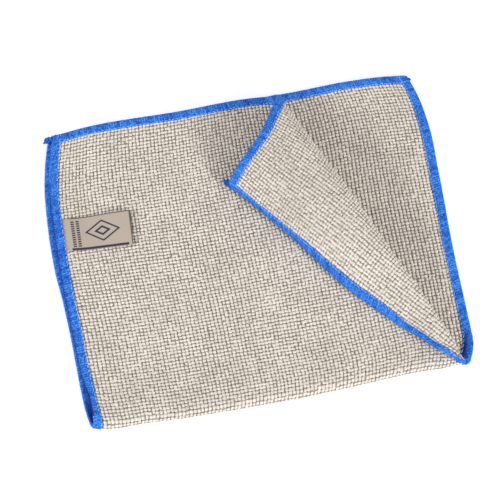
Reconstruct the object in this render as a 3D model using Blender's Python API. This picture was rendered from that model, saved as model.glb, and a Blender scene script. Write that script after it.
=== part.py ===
"""A knitted microfibre cleaning cloth with an overlocked blue edging and a woven label.

The cloth lies folded in half on a flat surface. Its fold is at the near side (-Y), and the free right
corner of the upper layer is turned back to the left over a soft diagonal roll. One function, laid(),
says where each point of the flat cloth ends up, and every piece is cut from that one surface: the knitted
cloth itself, the four runs of edging that wrap its cut edges, and the label.

Lengths are in millimetres; the meshes are made in metres.
"""

import math

import bpy
import numpy as np

MM = 0.001

# ---- driving dimensions ---------------------------------------------------------------------------
CLOTH_WIDTH = 300.0  # side to side, edging included
CLOTH_LENGTH = 500.0  # end to end, before it is folded in half
CLOTH_THICKNESS = 2.2
EDGING_WIDTH = 7.5  # how far the overlock reaches in from the cut edge
THREAD_THICKNESS = 0.5  # the layer of thread on each face
GAP = 0.3  # between one piece and the next
FOLD_RADIUS = 3.8  # of the fold, to the middle of the cloth
LAYER_SPACING = 3.2  # lower layer to upper layer, middle to middle, away from the edging
FOLD_REACH = 40.0  # how far the upper layer takes to come down from the fold
LABEL_LENGTH = 51.0  # from the edging to its free end
LABEL_WIDTH = 28.0
LABEL_THICKNESS = 1.0
LABEL_MIDDLE = 155.8  # from the fold, along the upper layer, at the edging
LABEL_TILT = math.radians(3.1)  # it is sewn in a little askew, its free end nearer the fold
LABEL_LIFT = 2.2  # of its free end, off the cloth
BOX_CENTRE = (0.34, 121.04)  # middle of the folded cloth, which becomes the origin

EDGING_HALF = CLOTH_THICKNESS / 2 + GAP + THREAD_THICKNESS
EDGING_RISE = EDGING_HALF - CLOTH_THICKNESS / 2  # the cloth rises by this to the thicker edging
EDGING_SPACING = 2 * EDGING_HALF + 0.4  # layer spacing where edging lies on edging
RISE_START = 9.0  # from the cut edge
RISE_REACH = 20.0
FOLD_ARC = math.pi * FOLD_RADIUS
LAYER_LENGTH = (CLOTH_LENGTH - FOLD_ARC) / 2


def table(names, *rows):
    """A short table as one array for each named column."""
    return dict(zip(names.split(), np.array(rows, float).T))


# The two sides of the folded cloth, from the fold to the far edge: they bow out, and the overlock
# draws the corners in. The upper layer's right side, which is turned back, has its own bow.
SIDES = table(
    "from_fold  left   right  upper_right",
    (-5,      -146.0,  146.0,  148.0),
    (8,       -147.8,  148.8,  153.0),
    (35,      -149.8,  150.2,  154.5),
    (75,      -151.4,  151.0,  155.5),
    (115,     -153.6,  152.4,  157.0),
    (160,     -154.4,  154.2,  158.0),
    (198,     -153.6,  155.4,  156.0),
    (225,     -149.0,  153.0,  152.0),
    (247,     -142.6,  147.6,  147.0),
)  # fmt: skip

# The far edges of the two layers, from left to right, and the fold's own wander.
FAR_EDGES = table(
    "across  upper  lower",
    (-155,   240.8,  241.0),
    (-138,   242.6,  243.4),
    (-112,   245.2,  246.0),
    (-40,    245.2,  246.6),
    (30,     245.2,  246.8),
    (60,     240.5,  247.0),
    (95,     234.5,  248.2),
    (130,    235.0,  246.8),
    (150,    236.0,  244.2),
)  # fmt: skip
FOLD_LINE = table(
    "across  shift",
    (-155,   2.6),
    (-138,   1.6),
    (-110,   0.4),
    (-55,   -0.9),
    (-20,   -1.2),
    (20,    -0.5),
    (55,     1.4),
    (85,     3.4),
    (108,    4.4),
    (128,    3.4),
    (150,    2.6),
)  # fmt: skip
UPPER_LAYER_INSET = 3.0  # the upper layer's left side lies this far inside the lower one's

# The turned-back corner. Its roll runs from ROLL_FAR on the far edge to ROLL_NEAR at the fold's right
# end. Each row is a cross-section of it, at a distance along that line: where the roll's outer side
# lies from the line, its radius, how far the roll turns, how far the flap droops after it, and how far
# the flap's last stretch, CURL_LENGTH long, curls down beside the edging.
ROLL_FAR = np.array([41.8, 243.8])
ROLL_NEAR = np.array([142.5, 0.0])
CURL_LENGTH = 14.0
ROLL = table(
    "along  offset  radius  turn  droop  curl",
    (-30,   -3.0,    4.5,   172,   26,    34),
    (0,     -3.0,    7.5,   172,   28,    42),
    (25,    -3.0,   12.0,   174,   34,    54),
    (50,    -3.2,   14.5,   176,   38,    60),
    (90,    -3.2,   15.0,   176,   42,    55),
    (130,   -3.4,   13.0,   176,   42,    34),
    (170,   -3.4,    9.0,   175,   36,    10),
    (210,   -2.8,    5.2,   174,   24,    0),
    (240,   -4.0,    4.8,   172,   14,    0),
    (270,   -6.0,    4.4,   172,   10,    0),
)  # fmt: skip
ROLL_EXIT = (-11.0, 2.0)  # between these distances from the fold's crest the roll comes in
CORNER = (CLOTH_WIDTH, -4.0)  # the flat cloth's point where fold and roll meet at the right side
CORNER_REACH = (40.0, 32.0)  # how far from there, across and along, the loop is drawn tight
CORNER_CUT = 21.0  # the cloth there is the mean over this far to each side along the edge
CORNER_SAMPLES = 11
LOOP_START = 286.0  # across the flat cloth
LOOP_REACH = 18.0  # along it, to each side
LOOP_TURN = math.radians(-136.0)  # of the treads, from the lower layer to the flap
LOOP_RISE = 0.15
LOOP_BUNCH = 0.36  # by how much the treads shorten half-way round
LOOP_EASE = 9.0  # how far from LOOP_START the treads take to swing into line
CORNER_SOFTNESS = 1.5  # how softly the loop comes down to the height of the lower layer

ROLL_LENGTH = float(np.hypot(*(ROLL_NEAR - ROLL_FAR)))
ALONG = (ROLL_NEAR - ROLL_FAR) / ROLL_LENGTH  # unit vector along the roll, from far to near
ACROSS = np.array([-ALONG[1], ALONG[0]])  # unit vector across it, towards the right


# ---- the shape of the laid cloth --------------------------------------------------------------------
def smooth(t):
    """An S-shaped ease from 0 at t = 0 to 1 at t = 1."""
    t = np.clip(t, 0.0, 1.0)
    return t * t * (3.0 - 2.0 * t)


def through(rows, at, name, x):
    """A smooth curve through a table's rows: cubic pieces, each slope taken from its neighbours."""
    xs, ys = rows[at], rows[name]
    slopes = np.gradient(ys, xs)
    x = np.clip(x, xs[0], xs[-1])
    k = np.clip(np.searchsorted(xs, x, side="right") - 1, 0, len(xs) - 2)
    step = xs[k + 1] - xs[k]
    t = (x - xs[k]) / step
    return (
        (1 + 2 * t) * (1 - t) ** 2 * ys[k]
        + t * (1 - t) ** 2 * step * slopes[k]
        + t * t * (3 - 2 * t) * ys[k + 1]
        + t * t * (t - 1) * step * slopes[k + 1]
    )


def from_fold(w):
    """Distance from the fold's line, for a point w along the cloth from the fold's crest.

    w is positive on the upper layer; from 0 to -FOLD_ARC it goes round the fold, and beyond that it
    is on the lower layer.
    """
    turn = np.clip(w / FOLD_RADIUS, -math.pi, 0.0)
    return np.where(w >= 0, w, FOLD_RADIUS * np.sin(turn)) + np.clip(-w - FOLD_ARC, 0.0, None)


def side_positions(w):
    """The x of the left and right sides at w; going round the fold, they shift to the upper layer's."""
    y = from_fold(w)
    upper = smooth(1.0 + w / FOLD_ARC)
    left = through(SIDES, "from_fold", "left", y) + UPPER_LAYER_INSET * upper
    right = through(SIDES, "from_fold", "right", y)
    return left, right + (through(SIDES, "from_fold", "upper_right", y) - right) * upper


def pressed(s, v):
    """The flat cloth's point s across, v along, as x and w on the folded cloth.

    s runs from 0 at the left side to CLOTH_WIDTH, and v from -(LAYER_LENGTH + FOLD_ARC) at the lower
    layer's far edge to LAYER_LENGTH at the upper one's. The sides and far edges take their bows here.
    """
    left, right = side_positions(v)
    x = left + (right - left) * s / CLOTH_WIDTH
    far_part = smooth((from_fold(v) - 0.45 * LAYER_LENGTH) / (0.55 * LAYER_LENGTH))
    upper = through(FAR_EDGES, "across", "upper", x) - LAYER_LENGTH
    lower = through(FAR_EDGES, "across", "lower", x) - LAYER_LENGTH
    return x, v + far_part * np.where(v > 0, upper, -lower)


def folded(x, w):
    """The folded cloth before its corner is turned back: a point and the direction angle of +w there.

    The lower layer is flat, the fold is half a circle, and the upper layer eases down from it.
    """
    left, right = side_positions(w)
    y = from_fold(w)
    far = through(FAR_EDGES, "across", "lower", x)
    to_edge = np.minimum(np.minimum(x - left, right - x), far - y)
    edging = 1.0 - smooth((to_edge - RISE_START) / RISE_REACH)
    base = CLOTH_THICKNESS / 2 + EDGING_RISE * edging
    spacing = LAYER_SPACING + (EDGING_SPACING - LAYER_SPACING) * edging
    turn = np.clip(w / FOLD_RADIUS, -math.pi, 0.0)
    drop = (2 * FOLD_RADIUS - spacing) * smooth(w / FOLD_REACH)
    z = base + FOLD_RADIUS * (1.0 + np.cos(turn)) - drop
    shift = through(FOLD_LINE, "across", "shift", x) * (1.0 - np.clip(y, 0.0, None) / LAYER_LENGTH)
    return np.stack([x, y + shift, z], -1), turn


def arcs(distance, runs):
    """Across, up and turned angle after a distance along arcs of (length, curvature), one after another.

    Each arc starts in the direction in which the last one ended.
    """
    across, up, angle = 0.0, 0.0, 0.0
    for length, curvature in runs:
        here = np.clip(distance, 0.0, length)
        distance = distance - length
        curvature = np.where(np.abs(curvature) < 1e-6, 1e-6, curvature)
        turned = angle + curvature * here
        across = across + (np.sin(turned) - np.sin(angle)) / curvature
        up = up + (np.cos(angle) - np.cos(turned)) / curvature
        angle = turned
    return across, up, angle


def roll_values(x, w):
    """Distance past the line where the upper layer lifts off, and the roll's table values there."""
    rx, ry = x - ROLL_FAR[0], w - ROLL_FAR[1]
    along = rx * ALONG[0] + ry * ALONG[1]
    across = rx * ACROSS[0] + ry * ACROSS[1]
    value = {name: through(ROLL, "along", name, along) for name in ROLL if name != "along"}
    return across - value["offset"] + value["radius"], value


def turned_back(s, v):
    """The flat cloth's point (s, v), folded and with its corner turned back.

    Left of the lift-off line it is on the folded cloth. Right of it, the cloth leaves that line at a
    foot, square to the roll, and follows arcs: up and over the roll, along the drooping flap, and down
    the curl at the flap's long edge.
    """
    x, w = pressed(s, v)
    past, value = roll_values(x, w)
    entry, full = ROLL_EXIT
    past = np.where(w > entry, np.clip(past, 0.0, None), 0.0)
    _, right = side_positions(np.clip(w, 0.0, None))
    total = past + (right - x) / ACROSS[0]
    roll = value["radius"] * np.radians(value["turn"]) * smooth((w - entry) / (full - entry))
    flap = np.clip(total - roll - CURL_LENGTH, 2.0, None)
    across, up, _ = arcs(
        past,
        [
            (roll, 1.0 / value["radius"]),
            (flap, np.radians(value["droop"]) / flap),
            (CURL_LENGTH * 2, np.radians(value["curl"]) / CURL_LENGTH),
        ],
    )
    foot, turn = folded(x - past * ACROSS[0], w - past * ACROSS[1])
    forward = np.stack([np.zeros_like(turn), np.cos(turn), -np.sin(turn)], -1)
    outward = np.stack([np.zeros_like(turn), np.sin(turn), np.cos(turn)], -1)
    sideways = ACROSS[0] * np.array([1.0, 0.0, 0.0]) + ACROSS[1] * forward
    return foot + across[..., None] * sideways + up[..., None] * outward


def drawn_tight(s, v):
    """The same, but where the fold and the roll meet at the right side the cloth cuts the corner.

    There it is a weighted mean of turned_back over a stretch along the edge.
    """
    distance = np.hypot((s - CORNER[0]) / CORNER_REACH[0], (v - CORNER[1]) / CORNER_REACH[1])
    stretch = CORNER_CUT * smooth(1.2 - 1.2 * distance)
    point = 0.0
    for step in np.linspace(-1.0, 1.0, CORNER_SAMPLES + 2)[1:-1]:
        weight = (1.0 + math.cos(math.pi * step)) / (CORNER_SAMPLES + 1)
        point = point + weight * turned_back(s, v + step * stretch)
    return point


def laid(s, v):
    """Where the flat cloth's point (s, v) lies, at the middle of the cloth's thickness.

    Round that corner the right side fans out from LOOP_START, like the treads of a winding stair, and
    it stays up at the height of the lower layer.
    """
    point = drawn_tight(s, v)
    start = drawn_tight(LOOP_START + 0 * s, v)
    ahead = start - drawn_tight(LOOP_START - 4.0 + 0 * s, v)
    ahead /= np.linalg.norm(ahead, axis=-1, keepdims=True)
    turned = smooth((v - CORNER[1] + LOOP_REACH) / (2 * LOOP_REACH))
    angle = LOOP_TURN * turned
    stair = np.stack([np.cos(angle), np.sin(angle), LOOP_RISE + 0 * angle], -1)
    beyond = np.clip(s - LOOP_START, 0.0, None) * (1.0 - 4.0 * LOOP_BUNCH * turned * (1.0 - turned))
    beyond = beyond[..., None]
    ahead = ahead + smooth(beyond / LOOP_EASE) * (stair - ahead)
    nearness = smooth(1.5 - np.abs(v - CORNER[1]) / LOOP_REACH)
    fan = nearness * (s > LOOP_START)
    point = point + fan[..., None] * (start + beyond * ahead - point)
    edging = 1.0 - smooth((CLOTH_WIDTH - s - RISE_START) / RISE_REACH)
    lowest = CLOTH_THICKNESS / 2 + EDGING_RISE * edging
    above = point[..., 2] - lowest
    soft = CORNER_SOFTNESS * nearness * smooth((s - 0.8 * CLOTH_WIDTH) / (0.1 * CLOTH_WIDTH))
    point[..., 2] = lowest + (above + np.sqrt(above * above + soft * soft)) / 2
    return point


def off_cloth(s, v, height):
    """The point at a height off the middle of the laid cloth, square to it, on its outer face side."""
    s, v, height = np.broadcast_arrays(s, v, height)
    step = 0.05
    side = laid(s + step, v) - laid(s - step, v)
    lengthwise = laid(s, v + step) - laid(s, v - step)
    normal = np.cross(side, lengthwise)
    normal /= np.linalg.norm(normal, axis=-1, keepdims=True)
    return laid(s, v) + height[..., None] * normal


# ---- where the surface is divided -------------------------------------------------------------------
FLAT_COLUMNS = 7
ROLL_COLUMNS = 18
FLAP_COLUMNS = 11
UPPER_ROWS = 22
FOLD_ROWS = 12
LOWER_ROWS = 8
ROW_CROWDING = 1.6  # the power by which the rows crowd towards the fold
LOWER_ROW_CROWDING = 2.2
END_TRIM = 1.3  # the cloth ends this far inside the edging's outer face
EDGE_STEPS = np.array([END_TRIM, 4.0, EDGING_WIDTH + GAP, 13.0, 20.0])  # rows and columns by a cut edge
EDGE_REACH = 30.0  # where the even spacing begins


def row_positions():
    """Positions v of the rows, closer together at the fold and the ends, from one end to the other."""
    spread = np.linspace(0.0, 1.0, UPPER_ROWS + 1) ** ROW_CROWDING
    upper = np.concatenate([spread * (LAYER_LENGTH - EDGE_REACH), LAYER_LENGTH - EDGE_STEPS[::-1]])
    fold = np.linspace(-FOLD_ARC, 0.0, FOLD_ROWS + 1)
    spread = np.linspace(1.0, 0.0, LOWER_ROWS + 1) ** LOWER_ROW_CROWDING
    lower = np.concatenate([LAYER_LENGTH - EDGE_STEPS, spread * (LAYER_LENGTH - EDGE_REACH)])
    return np.concatenate([-FOLD_ARC - lower[:-1], fold[:-1], upper])


def column_positions(v):
    """Positions s of the columns for each row: they follow the roll on the upper layer."""
    fine = np.linspace(0.0, CLOTH_WIDTH, 601)
    past, value = roll_values(*pressed(fine, np.clip(v, 0.0, None)[:, None]))
    arc = value["radius"] * np.radians(value["turn"])
    lift = np.array([np.interp(0.0, row, fine) for row in past])
    over = np.array([np.interp(0.0, row, fine) for row in past - arc])
    even = smooth((-v - FOLD_ARC) / 90.0)
    lift = lift * (1 - even) + 0.3 * CLOTH_WIDTH * even
    over = over * (1 - even) + 0.75 * CLOTH_WIDTH * even
    zone = CLOTH_WIDTH - EDGE_STEPS[2]
    over = np.minimum(over, zone - 2.5)
    lift = np.minimum(lift, over - 5.0)
    t = np.linspace(0.0, 1.0, FLAT_COLUMNS + 1)[:-1]
    flat = EDGE_REACH + (lift - EDGE_REACH)[:, None] * t
    t = np.linspace(0.0, 1.0, ROLL_COLUMNS + 1)[:-1]
    roll = lift[:, None] + (over - lift)[:, None] * t
    t = np.linspace(0.0, 1.0, FLAP_COLUMNS + 1)[:-1]
    t = 0.5 * t + 0.25 * (1.0 - np.cos(math.pi * t))
    flap = over[:, None] + (zone - over)[:, None] * t
    near_left = np.broadcast_to(EDGE_STEPS, (len(v), len(EDGE_STEPS)))
    near_right = np.broadcast_to(CLOTH_WIDTH - EDGE_STEPS[2::-1], (len(v), 3))
    return np.concatenate([near_left, flat, roll, flap, near_right], axis=1)


# ---- meshes -----------------------------------------------------------------------------------------
def shell_object(name, outer, inner, material, collection, crossed_from=None):
    """A closed body between two grids of points, in rows and columns, which face away from each other.

    Its four-sided faces fold along the same diagonal on both sides, and from the column crossed_from on
    along the other one, so that pieces which lie on each other follow each other's twist.
    """
    rows, columns = outer.shape[:2]
    count = rows * columns
    points = np.concatenate([outer.reshape(-1, 3), inner.reshape(-1, 3)])
    points = (points - np.array([*BOX_CENTRE, 0.0])) * MM
    corner = np.arange(count).reshape(rows, columns)
    faces = np.stack([corner[:-1, :-1], corner[:-1, 1:], corner[1:, 1:], corner[1:, :-1]], -1)
    if crossed_from is not None:
        faces[:, crossed_from:] = np.roll(faces[:, crossed_from:], 1, axis=-1)
    faces = faces.reshape(-1, 4)
    back = faces[:, [0, 3, 2, 1]] + count
    rim = np.concatenate([corner[0, :-1], corner[:-1, -1], corner[-1, :0:-1], corner[:0:-1, 0]])
    ahead = np.roll(rim, -1)
    sides = np.stack([ahead, rim, rim + count, ahead + count], -1)
    mesh = bpy.data.meshes.new(name)
    mesh.from_pydata(points.tolist(), [], np.concatenate([faces, back, sides]).tolist())
    mesh.shade_smooth()
    mesh.materials.append(material)
    body = bpy.data.objects.new(name, mesh)
    collection.objects.link(body)
    return body


def make_material(name, colour, roughness):
    """A plain finish for one piece."""
    material = bpy.data.materials.new(name)
    material.use_nodes = True
    shader = material.node_tree.nodes["Principled BSDF"]
    shader.inputs["Base Color"].default_value = (*colour, 1.0)
    shader.inputs["Roughness"].default_value = roughness
    shader.inputs["Metallic"].default_value = 0.0
    return material


def make_cloth(collection):
    """The knitted cloth: one sheet, folded in half, with its free corner turned back."""
    rows = row_positions()
    s, v = column_positions(rows), rows[:, None]
    material = make_material("greige knit", (0.62, 0.56, 0.48), 0.9)
    half = CLOTH_THICKNESS / 2
    shell_object("cloth", off_cloth(s, v, half), off_cloth(s, v, -half), material, collection)


def edging_section(layer):
    """The overlock's outer face, or its inner one, as pairs of distance in and height off the cloth.

    It goes from the inner edge of one face, round the cut edge, to the inner edge of the other face.
    """
    if layer == "outer":
        top, edge = EDGING_HALF, 0.0
    else:
        top, edge = EDGING_HALF - THREAD_THICKNESS, THREAD_THICKNESS
    half = [(EDGING_WIDTH, top), (4.0, top), (edge + 1.0, top), (edge + 0.25, top - 0.35), (edge, top - 0.9)]
    return np.array(half + [(inward, -height) for inward, height in reversed(half)])


def make_edging(name, s_of, v_of, collection, material):
    """One overlocked run: a U of thread carried along a cut edge.

    s_of and v_of give the flat cloth's coordinates along the run, for a distance in from that edge.
    The run goes with the cut edge on its right, seen from the outer face, so that its faces look out.
    """
    outer, inner = (
        np.stack([off_cloth(s_of(i), v_of(i), h) for i, h in edging_section(layer)], 1)
        for layer in ("outer", "inner")
    )
    shell_object(name, outer, inner, material, collection, crossed_from=outer.shape[1] // 2)


def far_run_positions(v):
    """Positions s along a far run: the cloth's own columns at v, between the two long runs."""
    between = EDGING_WIDTH + GAP
    columns = column_positions(np.array([v]))[0]
    columns = columns[len(EDGE_STEPS[:3]) : -3]
    return np.concatenate([[between], columns, [CLOTH_WIDTH - between]])


def make_edgings(collection):
    """Four runs, one to a side. The two long ones go round the fold and take the corners."""
    material = make_material("blue overlock thread", (0.03, 0.16, 0.72), 0.75)
    rows = row_positions()
    rows[[0, -1]] = -LAYER_LENGTH - FOLD_ARC, LAYER_LENGTH
    down = rows[::-1]
    zero = 0 * rows
    make_edging("edging_left", lambda i: i + zero, lambda i: down, collection, material)
    make_edging("edging_right", lambda i: CLOTH_WIDTH - i + zero, lambda i: rows, collection, material)
    for name, end, inward in (
        ("edging_front_layer", LAYER_LENGTH, -1),
        ("edging_back_layer", -LAYER_LENGTH - FOLD_ARC, 1),
    ):
        make_edging(
            name,
            lambda i, e=end, k=inward: far_run_positions(e + k * i)[::k],
            lambda i, e=end, k=inward: np.array(e + k * i),
            collection,
            material,
        )


def make_label(collection):
    """The woven label: a strip on the upper layer whose end butts the left edging; its free end lifts."""
    reach, width = np.meshgrid(np.linspace(0.0, 1.0, 13), np.linspace(-0.5, 0.5, 7) * LABEL_WIDTH)
    slope = math.tan(LABEL_TILT)
    s = EDGING_WIDTH + GAP + (LABEL_LENGTH + slope * width) * reach
    v = LABEL_MIDDLE + width - slope * LABEL_LENGTH * reach
    rest = CLOTH_THICKNESS / 2 + GAP + LABEL_THICKNESS / 2
    height = rest + LABEL_LIFT * smooth(reach) ** 2
    half = LABEL_THICKNESS / 2
    material = make_material("woven label", (0.5, 0.45, 0.37), 0.45)
    top, bottom = off_cloth(s, v, height + half), off_cloth(s, v, height - half)
    shell_object("label", top, bottom, material, collection)


def main():
    for old in list(bpy.data.objects):
        bpy.data.objects.remove(old, do_unlink=True)
    collection = bpy.data.collections.new("folded microfibre cloth")
    bpy.context.scene.collection.children.link(collection)
    make_cloth(collection)
    make_edgings(collection)
    make_label(collection)


if __name__ == "__main__":
    main()
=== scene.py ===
"""A folded pearl-knit microfibre cloth, finished: knit, overlocked edging and woven label.

The cloth lies folded in half, its fold at the near side (-Y), and the free right corner of its upper
layer is turned back to the left over a soft diagonal roll. One function, laid(), says where each point
of the flat cloth ends up; slipped() adds small shifts; and every piece is placed on that one surface.

Lengths are in millimetres; the meshes are made in metres.
"""

import math

import bpy
import numpy as np
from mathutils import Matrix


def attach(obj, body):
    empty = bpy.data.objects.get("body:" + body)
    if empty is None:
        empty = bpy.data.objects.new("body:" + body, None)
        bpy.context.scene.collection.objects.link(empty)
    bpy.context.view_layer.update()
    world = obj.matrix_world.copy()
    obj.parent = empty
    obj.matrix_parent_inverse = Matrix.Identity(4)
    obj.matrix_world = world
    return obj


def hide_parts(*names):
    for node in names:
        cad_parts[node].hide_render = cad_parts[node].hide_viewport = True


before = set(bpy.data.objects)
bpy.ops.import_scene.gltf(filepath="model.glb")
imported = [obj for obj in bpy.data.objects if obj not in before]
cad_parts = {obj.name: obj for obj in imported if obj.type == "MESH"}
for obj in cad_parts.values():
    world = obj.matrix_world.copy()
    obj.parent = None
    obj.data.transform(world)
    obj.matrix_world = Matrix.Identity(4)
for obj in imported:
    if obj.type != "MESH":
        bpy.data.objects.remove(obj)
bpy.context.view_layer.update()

MM = 0.001
PEARL_SEED, OVERLOCK_SEED, NEEDLE_SEED = 1, 10, 20  # the random seed of each kind's first piece

# ---- driving dimensions ---------------------------------------------------------------------------
CLOTH_WIDTH = 300.0  # side to side, edging included
CLOTH_LENGTH = 500.0  # end to end, before it is folded in half
CLOTH_THICKNESS = 2.2
EDGING_WIDTH = 7.5  # how far the overlock reaches in from the cut edge
THREAD_THICKNESS = 0.5  # the layer of thread on each face
GAP = 0.3  # between one piece and the next
FOLD_RADIUS = 3.8  # of the fold, to the middle of the cloth
LAYER_SPACING = 3.2  # lower layer to upper layer, middle to middle, away from the edging
FOLD_REACH = 40.0  # how far the upper layer takes to come down from the fold
LABEL_LENGTH = 51.0  # from the edging to its free end
LABEL_WIDTH = 28.0
LABEL_THICKNESS = 1.0
LABEL_MIDDLE = 155.8  # from the fold, along the upper layer, at the edging
LABEL_TILT = math.radians(3.1)  # it is sewn in a little askew, its free end nearer the fold
LABEL_LIFT = 2.2  # of its free end, off the cloth
BOX_CENTRE = (0.34, 121.04)  # middle of the folded cloth, which becomes the origin

EDGING_HALF = CLOTH_THICKNESS / 2 + GAP + THREAD_THICKNESS
EDGING_RISE = EDGING_HALF - CLOTH_THICKNESS / 2  # the cloth rises by this to the thicker edging
EDGING_SPACING = 2 * EDGING_HALF + 0.4  # layer spacing where edging lies on edging
RISE_START = 9.0  # from the cut edge
RISE_REACH = 20.0
FOLD_ARC = math.pi * FOLD_RADIUS
LAYER_LENGTH = (CLOTH_LENGTH - FOLD_ARC) / 2


def table(names, *rows):
    """A short table as one array for each named column."""
    return dict(zip(names.split(), np.array(rows, float).T))


# The two sides of the folded cloth, from the fold to the far edge: they bow out, and the overlock
# draws the corners in. The upper layer's right side, which is turned back, has its own bow.
SIDES = table(
    "from_fold  left   right  upper_right",
    (-5,      -146.0,  146.0,  148.0),
    (8,       -147.8,  148.8,  153.0),
    (35,      -149.8,  150.2,  154.5),
    (75,      -151.4,  151.0,  155.5),
    (115,     -153.6,  152.4,  157.0),
    (160,     -154.4,  154.2,  158.0),
    (198,     -153.6,  155.4,  156.0),
    (225,     -149.0,  153.0,  152.0),
    (247,     -142.6,  147.6,  147.0),
)  # fmt: skip

# The far edges of the two layers, from left to right, and the fold's own wander.
FAR_EDGES = table(
    "across  upper  lower",
    (-155,   240.8,  241.0),
    (-138,   242.6,  243.4),
    (-112,   245.2,  246.0),
    (-40,    245.2,  246.6),
    (30,     245.2,  246.8),
    (60,     240.5,  247.0),
    (95,     234.5,  248.2),
    (130,    235.0,  246.8),
    (150,    236.0,  244.2),
)  # fmt: skip
FOLD_LINE = table(
    "across  shift",
    (-155,   2.6),
    (-138,   1.6),
    (-110,   0.4),
    (-55,   -0.9),
    (-20,   -1.2),
    (20,    -0.5),
    (55,     1.4),
    (85,     3.4),
    (108,    4.4),
    (128,    3.4),
    (150,    2.6),
)  # fmt: skip
UPPER_LAYER_INSET = 3.0  # the upper layer's left side lies this far inside the lower one's

# The turned-back corner. Its roll runs from ROLL_FAR on the far edge to ROLL_NEAR at the fold's right
# end. Each row is a cross-section of it, at a distance along that line: where the roll's outer side
# lies from the line, its radius, how far the roll turns, how far the flap droops after it, and how far
# the flap's last stretch, CURL_LENGTH long, curls down beside the edging.
ROLL_FAR = np.array([41.8, 243.8])
ROLL_NEAR = np.array([142.5, 0.0])
CURL_LENGTH = 14.0
ROLL = table(
    "along  offset  radius  turn  droop  curl",
    (-30,   -3.0,    4.5,   172,   26,    34),
    (0,     -3.0,    7.5,   172,   28,    42),
    (25,    -3.0,   12.0,   174,   34,    54),
    (50,    -3.2,   14.5,   176,   38,    60),
    (90,    -3.2,   15.0,   176,   42,    55),
    (130,   -3.4,   13.0,   176,   42,    34),
    (170,   -3.4,    9.0,   175,   36,    10),
    (210,   -2.8,    5.2,   174,   24,    0),
    (240,   -4.0,    4.8,   172,   14,    0),
    (270,   -6.0,    4.4,   172,   10,    0),
)  # fmt: skip
ROLL_EXIT = (-11.0, 2.0)  # between these distances from the fold's crest the roll comes in
CORNER = (CLOTH_WIDTH, -4.0)  # the flat cloth's point where fold and roll meet at the right side
CORNER_REACH = (40.0, 32.0)  # how far from there, across and along, the loop is drawn tight
CORNER_CUT = 21.0  # the cloth there is the mean over this far to each side along the edge
CORNER_SAMPLES = 11
LOOP_START = 286.0  # across the flat cloth
LOOP_REACH = 18.0  # along it, to each side
LOOP_TURN = math.radians(-136.0)  # of the treads, from the lower layer to the flap
LOOP_RISE = 0.15
LOOP_BUNCH = 0.36  # by how much the treads shorten half-way round
LOOP_EASE = 9.0  # how far from LOOP_START the treads take to swing into line
CORNER_SOFTNESS = 1.5  # how softly the loop comes down to the height of the lower layer

ROLL_LENGTH = float(np.hypot(*(ROLL_NEAR - ROLL_FAR)))
ALONG = (ROLL_NEAR - ROLL_FAR) / ROLL_LENGTH  # unit vector along the roll, from far to near
ACROSS = np.array([-ALONG[1], ALONG[0]])  # unit vector across it, towards the right


# ---- the shape of the laid cloth --------------------------------------------------------------------
def smooth(t):
    """An S-shaped ease from 0 at t = 0 to 1 at t = 1."""
    t = np.clip(t, 0.0, 1.0)
    return t * t * (3.0 - 2.0 * t)


def through(rows, at, name, x):
    """A smooth curve through a table's rows: cubic pieces, each slope taken from its neighbours."""
    xs, ys = rows[at], rows[name]
    slopes = np.gradient(ys, xs)
    x = np.clip(x, xs[0], xs[-1])
    k = np.clip(np.searchsorted(xs, x, side="right") - 1, 0, len(xs) - 2)
    step = xs[k + 1] - xs[k]
    t = (x - xs[k]) / step
    return (
        (1 + 2 * t) * (1 - t) ** 2 * ys[k]
        + t * (1 - t) ** 2 * step * slopes[k]
        + t * t * (3 - 2 * t) * ys[k + 1]
        + t * t * (t - 1) * step * slopes[k + 1]
    )


def from_fold(w):
    """Distance from the fold's line, for a point w along the cloth from the fold's crest.

    w is positive on the upper layer; from 0 to -FOLD_ARC it goes round the fold, and beyond that it
    is on the lower layer.
    """
    turn = np.clip(w / FOLD_RADIUS, -math.pi, 0.0)
    return np.where(w >= 0, w, FOLD_RADIUS * np.sin(turn)) + np.clip(-w - FOLD_ARC, 0.0, None)


def side_positions(w):
    """The x of the left and right sides at w; going round the fold, they shift to the upper layer's."""
    y = from_fold(w)
    upper = smooth(1.0 + w / FOLD_ARC)
    left = through(SIDES, "from_fold", "left", y) + UPPER_LAYER_INSET * upper
    right = through(SIDES, "from_fold", "right", y)
    return left, right + (through(SIDES, "from_fold", "upper_right", y) - right) * upper


def pressed(s, v):
    """The flat cloth's point s across, v along, as x and w on the folded cloth.

    s runs from 0 at the left side to CLOTH_WIDTH, and v from -(LAYER_LENGTH + FOLD_ARC) at the lower
    layer's far edge to LAYER_LENGTH at the upper one's. The sides and far edges take their bows here.
    """
    left, right = side_positions(v)
    x = left + (right - left) * s / CLOTH_WIDTH
    far_part = smooth((from_fold(v) - 0.45 * LAYER_LENGTH) / (0.55 * LAYER_LENGTH))
    upper = through(FAR_EDGES, "across", "upper", x) - LAYER_LENGTH
    lower = through(FAR_EDGES, "across", "lower", x) - LAYER_LENGTH
    return x, v + far_part * np.where(v > 0, upper, -lower)


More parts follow.
